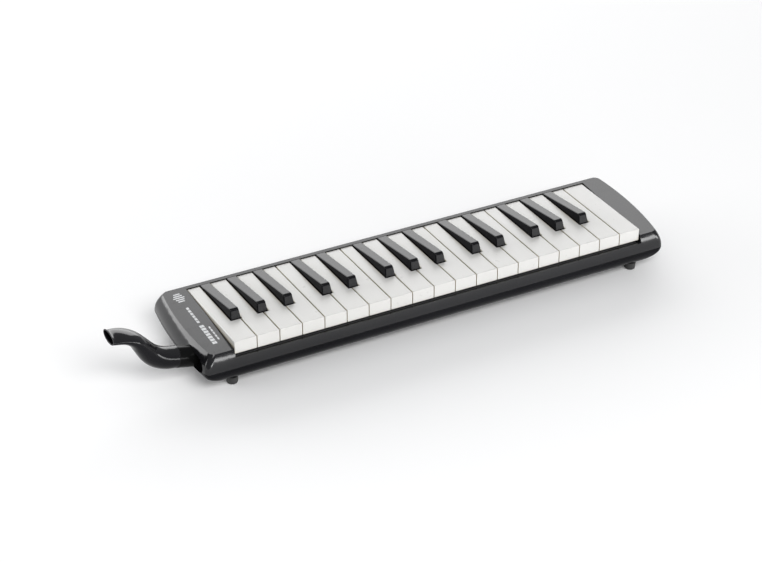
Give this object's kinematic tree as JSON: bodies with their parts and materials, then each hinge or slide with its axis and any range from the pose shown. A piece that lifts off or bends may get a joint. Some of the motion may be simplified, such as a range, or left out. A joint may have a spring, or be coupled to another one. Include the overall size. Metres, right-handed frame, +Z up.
{
  "type": "melodica",
  "caption": "Reed keyboard blown by mouth: black gloss casing on feet, white and black spring-returned keys on one rod, S-shaped mouthpiece in a side socket, push-button drain valve.",
  "frame": {"origin": "middle of the bottom of the whole object's box, on the plane that the feet stand on", "axes": "+X along the keyboard towards the high notes, +Y rearward from the player, +Z up"},
  "size_m": [0.5054, 0.104, 0.0657],
  "materials": {
    "ivory_plastic": "semi-gloss moulded ABS, warm white",
    "black_key_plastic": "satin moulded ABS, black",
    "black_gloss_plastic": "high gloss black ABS",
    "aluminium_sheet": "brushed sheet",
    "grey_plastic": "moulded ABS, fine texture",
    "brass": "rolled brass",
    "steel": "bright steel",
    "felt": "pressed wool felt, near black",
    "black_rubber": "matt black rubber",
    "pale_print": "silk-screened pale grey ink"
  },
  "bodies": {
    "case": {"upper_casing": "black_gloss_plastic", "lower_casing": "black_gloss_plastic", "feet": "black_rubber", "case_screws": "steel", "key_frame": "aluminium_sheet", "pivot_rod": "steel", "spring_comb": "steel", "frame_screws": "steel", "down_stop_felts": "felt", "reed_block": "grey_plastic", "reed_plate_low": "brass", "reed_plate_high": "brass", "reeds": "brass", "reed_rivets": "brass", "windchest_gasket": "black_rubber", "windchest": "grey_plastic", "windchest_screws": "steel", "inlet_chamber": "grey_plastic", "inlet_gasket": "black_rubber", "mouthpiece_socket": "black_gloss_plastic", "drain_spring": "steel", "deck_print": "pale_print"},
    "drain_valve": {"drain_button": "black_gloss_plastic", "drain_valve_head": "brass", "drain_seal": "black_rubber"},
    "mouthpiece_ring": {"mouthpiece_seal": "black_rubber"},
    "mouthpiece": {"mouthpiece": "black_gloss_plastic"},
    "white_key_f3": {"white_key_f3": "ivory_plastic"},
    "black_key_fs3": {"black_key_fs3": "black_key_plastic"},
    "white_key_g3": {"white_key_g3": "ivory_plastic"},
    "black_key_gs3": {"black_key_gs3": "black_key_plastic"},
    "white_key_a3": {"white_key_a3": "ivory_plastic"},
    "black_key_as3": {"black_key_as3": "black_key_plastic"},
    "white_key_b3": {"white_key_b3": "ivory_plastic"},
    "white_key_c4": {"white_key_c4": "ivory_plastic"},
    "black_key_cs4": {"black_key_cs4": "black_key_plastic"},
    "white_key_d4": {"white_key_d4": "ivory_plastic"},
    "black_key_ds4": {"black_key_ds4": "black_key_plastic"},
    "white_key_e4": {"white_key_e4": "ivory_plastic"},
    "white_key_f4": {"white_key_f4": "ivory_plastic"},
    "black_key_fs4": {"black_key_fs4": "black_key_plastic"},
    "white_key_g4": {"white_key_g4": "ivory_plastic"},
    "black_key_gs4": {"black_key_gs4": "black_key_plastic"},
    "white_key_a4": {"white_key_a4": "ivory_plastic"},
    "black_key_as4": {"black_key_as4": "black_key_plastic"},
    "white_key_b4": {"white_key_b4": "ivory_plastic"},
    "white_key_c5": {"white_key_c5": "ivory_plastic"},
    "black_key_cs5": {"black_key_cs5": "black_key_plastic"},
    "white_key_d5": {"white_key_d5": "ivory_plastic"},
    "black_key_ds5": {"black_key_ds5": "black_key_plastic"},
    "white_key_e5": {"white_key_e5": "ivory_plastic"},
    "white_key_f5": {"white_key_f5": "ivory_plastic"},
    "black_key_fs5": {"black_key_fs5": "black_key_plastic"},
    "white_key_g5": {"white_key_g5": "ivory_plastic"},
    "black_key_gs5": {"black_key_gs5": "black_key_plastic"},
    "white_key_a5": {"white_key_a5": "ivory_plastic"},
    "black_key_as5": {"black_key_as5": "black_key_plastic"},
    "white_key_b5": {"white_key_b5": "ivory_plastic"},
    "white_key_c6": {"white_key_c6": "ivory_plastic"}
  },
  "joints": [
    {"name": "drain_button_press", "type": "slide", "parent": "case", "child": "drain_valve", "axis": [-1, 0, 0], "range_m": [0, 0.003], "stiffness_N_per_m": 300, "springref_m": -0.004, "deforming": ["drain_spring"]},
    {"name": "mouthpiece_pull", "type": "slide", "parent": "case", "child": "mouthpiece_ring", "axis": [-0.9781, 0, 0.2079], "range_m": [0, 0.024]},
    {"name": "mouthpiece_turn", "type": "hinge", "parent": "mouthpiece_ring", "child": "mouthpiece", "pos_m": [-0.19641, -0.02362, 0.0254], "axis": [-0.9781, 0, 0.2079], "range_deg": [-90, 90]},
    {"name": "press_white_key_f3", "type": "hinge", "parent": "case", "child": "white_key_f3", "pos_m": [-0.15011, 0.01237, 0.0304], "axis": [1, 0, 0], "range_deg": [0, 4.25], "stiffness_Nm_per_rad": 0.6, "springref_deg": -2.86, "deforming": ["spring_comb"]},
    {"name": "press_black_key_fs3", "type": "hinge", "parent": "case", "child": "black_key_fs3", "pos_m": [-0.13971, 0.01237, 0.0304], "axis": [1, 0, 0], "range_deg": [0, 5.3], "stiffness_Nm_per_rad": 0.6, "springref_deg": -2.86, "deforming": ["spring_comb"]},
    {"name": "press_white_key_g3", "type": "hinge", "parent": "case", "child": "white_key_g3", "pos_m": [-0.12786, 0.01237, 0.0304], "axis": [1, 0, 0], "range_deg": [0, 4.25], "stiffness_Nm_per_rad": 0.6, "springref_deg": -2.86, "deforming": ["spring_comb"]},
    {"name": "press_black_key_gs3", "type": "hinge", "parent": "case", "child": "black_key_gs3", "pos_m": [-0.11601, 0.01237, 0.0304], "axis": [1, 0, 0], "range_deg": [0, 5.3], "stiffness_Nm_per_rad": 0.6, "springref_deg": -2.86, "deforming": ["spring_comb"]},
    {"name": "press_white_key_a3", "type": "hinge", "parent": "case", "child": "white_key_a3", "pos_m": [-0.10416, 0.01237, 0.0304], "axis": [1, 0, 0], "range_deg": [0, 4.25], "stiffness_Nm_per_rad": 0.6, "springref_deg": -2.86, "deforming": ["spring_comb"]},
    {"name": "press_black_key_as3", "type": "hinge", "parent": "case", "child": "black_key_as3", "pos_m": [-0.09231, 0.01237, 0.0304], "axis": [1, 0, 0], "range_deg": [0, 5.3], "stiffness_Nm_per_rad": 0.6, "springref_deg": -2.86, "deforming": ["spring_comb"]},
    {"name": "press_white_key_b3", "type": "hinge", "parent": "case", "child": "white_key_b3", "pos_m": [-0.08191, 0.01237, 0.0304], "axis": [1, 0, 0], "range_deg": [0, 4.25], "stiffness_Nm_per_rad": 0.6, "springref_deg": -2.86, "deforming": ["spring_comb"]},
    {"name": "press_white_key_c4", "type": "hinge", "parent": "case", "child": "white_key_c4", "pos_m": [-0.06918, 0.01237, 0.0304], "axis": [1, 0, 0], "range_deg": [0, 4.25], "stiffness_Nm_per_rad": 0.6, "springref_deg": -2.86, "deforming": ["spring_comb"]},
    {"name": "press_black_key_cs4", "type": "hinge", "parent": "case", "child": "black_key_cs4", "pos_m": [-0.05786, 0.01237, 0.0304], "axis": [1, 0, 0], "range_deg": [0, 5.3], "stiffness_Nm_per_rad": 0.6, "springref_deg": -2.86, "deforming": ["spring_comb"]},
    {"name": "press_white_key_d4", "type": "hinge", "parent": "case", "child": "white_key_d4", "pos_m": [-0.04601, 0.01237, 0.0304], "axis": [1, 0, 0], "range_deg": [0, 4.25], "stiffness_Nm_per_rad": 0.6, "springref_deg": -2.86, "deforming": ["spring_comb"]},
    {"name": "press_black_key_ds4", "type": "hinge", "parent": "case", "child": "black_key_ds4", "pos_m": [-0.03416, 0.01237, 0.0304], "axis": [1, 0, 0], "range_deg": [0, 5.3], "stiffness_Nm_per_rad": 0.6, "springref_deg": -2.86, "deforming": ["spring_comb"]},
    {"name": "press_white_key_e4", "type": "hinge", "parent": "case", "child": "white_key_e4", "pos_m": [-0.02283, 0.01237, 0.0304], "axis": [1, 0, 0], "range_deg": [0, 4.25], "stiffness_Nm_per_rad": 0.6, "springref_deg": -2.86, "deforming": ["spring_comb"]},
    {"name": "press_white_key_f4", "type": "hinge", "parent": "case", "child": "white_key_f4", "pos_m": [-0.01011, 0.01237, 0.0304], "axis": [1, 0, 0], "range_deg": [0, 4.25], "stiffness_Nm_per_rad": 0.6, "springref_deg": -2.86, "deforming": ["spring_comb"]},
    {"name": "press_black_key_fs4", "type": "hinge", "parent": "case", "child": "black_key_fs4", "pos_m": [0.00029, 0.01237, 0.0304], "axis": [1, 0, 0], "range_deg": [0, 5.3], "stiffness_Nm_per_rad": 0.6, "springref_deg": -2.86, "deforming": ["spring_comb"]},
    {"name": "press_white_key_g4", "type": "hinge", "parent": "case", "child": "white_key_g4", "pos_m": [0.01214, 0.01237, 0.0304], "axis": [1, 0, 0], "range_deg": [0, 4.25], "stiffness_Nm_per_rad": 0.6, "springref_deg": -2.86, "deforming": ["spring_comb"]},
    {"name": "press_black_key_gs4", "type": "hinge", "parent": "case", "child": "black_key_gs4", "pos_m": [0.02399, 0.01237, 0.0304], "axis": [1, 0, 0], "range_deg": [0, 5.3], "stiffness_Nm_per_rad": 0.6, "springref_deg": -2.86, "deforming": ["spring_comb"]},
    {"name": "press_white_key_a4", "type": "hinge", "parent": "case", "child": "white_key_a4", "pos_m": [0.03584, 0.01237, 0.0304], "axis": [1, 0, 0], "range_deg": [0, 4.25], "stiffness_Nm_per_rad": 0.6, "springref_deg": -2.86, "deforming": ["spring_comb"]},
    {"name": "press_black_key_as4", "type": "hinge", "parent": "case", "child": "black_key_as4", "pos_m": [0.04769, 0.01237, 0.0304], "axis": [1, 0, 0], "range_deg": [0, 5.3], "stiffness_Nm_per_rad": 0.6, "springref_deg": -2.86, "deforming": ["spring_comb"]},
    {"name": "press_white_key_b4", "type": "hinge", "parent": "case", "child": "white_key_b4", "pos_m": [0.05809, 0.01237, 0.0304], "axis": [1, 0, 0], "range_deg": [0, 4.25], "stiffness_Nm_per_rad": 0.6, "springref_deg": -2.86, "deforming": ["spring_comb"]},
    {"name": "press_white_key_c5", "type": "hinge", "parent": "case", "child": "white_key_c5", "pos_m": [0.07082, 0.01237, 0.0304], "axis": [1, 0, 0], "range_deg": [0, 4.25], "stiffness_Nm_per_rad": 0.6, "springref_deg": -2.86, "deforming": ["spring_comb"]},
    {"name": "press_black_key_cs5", "type": "hinge", "parent": "case", "child": "black_key_cs5", "pos_m": [0.08214, 0.01237, 0.0304], "axis": [1, 0, 0], "range_deg": [0, 5.3], "stiffness_Nm_per_rad": 0.6, "springref_deg": -2.86, "deforming": ["spring_comb"]},
    {"name": "press_white_key_d5", "type": "hinge", "parent": "case", "child": "white_key_d5", "pos_m": [0.09399, 0.01237, 0.0304], "axis": [1, 0, 0], "range_deg": [0, 4.25], "stiffness_Nm_per_rad": 0.6, "springref_deg": -2.86, "deforming": ["spring_comb"]},
    {"name": "press_black_key_ds5", "type": "hinge", "parent": "case", "child": "black_key_ds5", "pos_m": [0.10584, 0.01237, 0.0304], "axis": [1, 0, 0], "range_deg": [0, 5.3], "stiffness_Nm_per_rad": 0.6, "springref_deg": -2.86, "deforming": ["spring_comb"]},
    {"name": "press_white_key_e5", "type": "hinge", "parent": "case", "child": "white_key_e5", "pos_m": [0.11717, 0.01237, 0.0304], "axis": [1, 0, 0], "range_deg": [0, 4.25], "stiffness_Nm_per_rad": 0.6, "springref_deg": -2.86, "deforming": ["spring_comb"]},
    {"name": "press_white_key_f5", "type": "hinge", "parent": "case", "child": "white_key_f5", "pos_m": [0.12989, 0.01237, 0.0304], "axis": [1, 0, 0], "range_deg": [0, 4.25], "stiffness_Nm_per_rad": 0.6, "springref_deg": -2.86, "deforming": ["spring_comb"]},
    {"name": "press_black_key_fs5", "type": "hinge", "parent": "case", "child": "black_key_fs5", "pos_m": [0.14029, 0.01237, 0.0304], "axis": [1, 0, 0], "range_deg": [0, 5.3], "stiffness_Nm_per_rad": 0.6, "springref_deg": -2.86, "deforming": ["spring_comb"]},
    {"name": "press_white_key_g5", "type": "hinge", "parent": "case", "child": "white_key_g5", "pos_m": [0.15214, 0.01237, 0.0304], "axis": [1, 0, 0], "range_deg": [0, 4.25], "stiffness_Nm_per_rad": 0.6, "springref_deg": -2.86, "deforming": ["spring_comb"]},
    {"name": "press_black_key_gs5", "type": "hinge", "parent": "case", "child": "black_key_gs5", "pos_m": [0.16399, 0.01237, 0.0304], "axis": [1, 0, 0], "range_deg": [0, 5.3], "stiffness_Nm_per_rad": 0.6, "springref_deg": -2.86, "deforming": ["spring_comb"]},
    {"name": "press_white_key_a5", "type": "hinge", "parent": "case", "child": "white_key_a5", "pos_m": [0.17584, 0.01237, 0.0304], "axis": [1, 0, 0], "range_deg": [0, 4.25], "stiffness_Nm_per_rad": 0.6, "springref_deg": -2.86, "deforming": ["spring_comb"]},
    {"name": "press_black_key_as5", "type": "hinge", "parent": "case", "child": "black_key_as5", "pos_m": [0.18769, 0.01237, 0.0304], "axis": [1, 0, 0], "range_deg": [0, 5.3], "stiffness_Nm_per_rad": 0.6, "springref_deg": -2.86, "deforming": ["spring_comb"]},
    {"name": "press_white_key_b5", "type": "hinge", "parent": "case", "child": "white_key_b5", "pos_m": [0.19809, 0.01237, 0.0304], "axis": [1, 0, 0], "range_deg": [0, 4.25], "stiffness_Nm_per_rad": 0.6, "springref_deg": -2.86, "deforming": ["spring_comb"]},
    {"name": "press_white_key_c6", "type": "hinge", "parent": "case", "child": "white_key_c6", "pos_m": [0.21399, 0.01237, 0.0304], "axis": [1, 0, 0], "range_deg": [0, 4.25], "stiffness_Nm_per_rad": 0.6, "springref_deg": -2.86, "deforming": ["spring_comb"]}
  ]
}
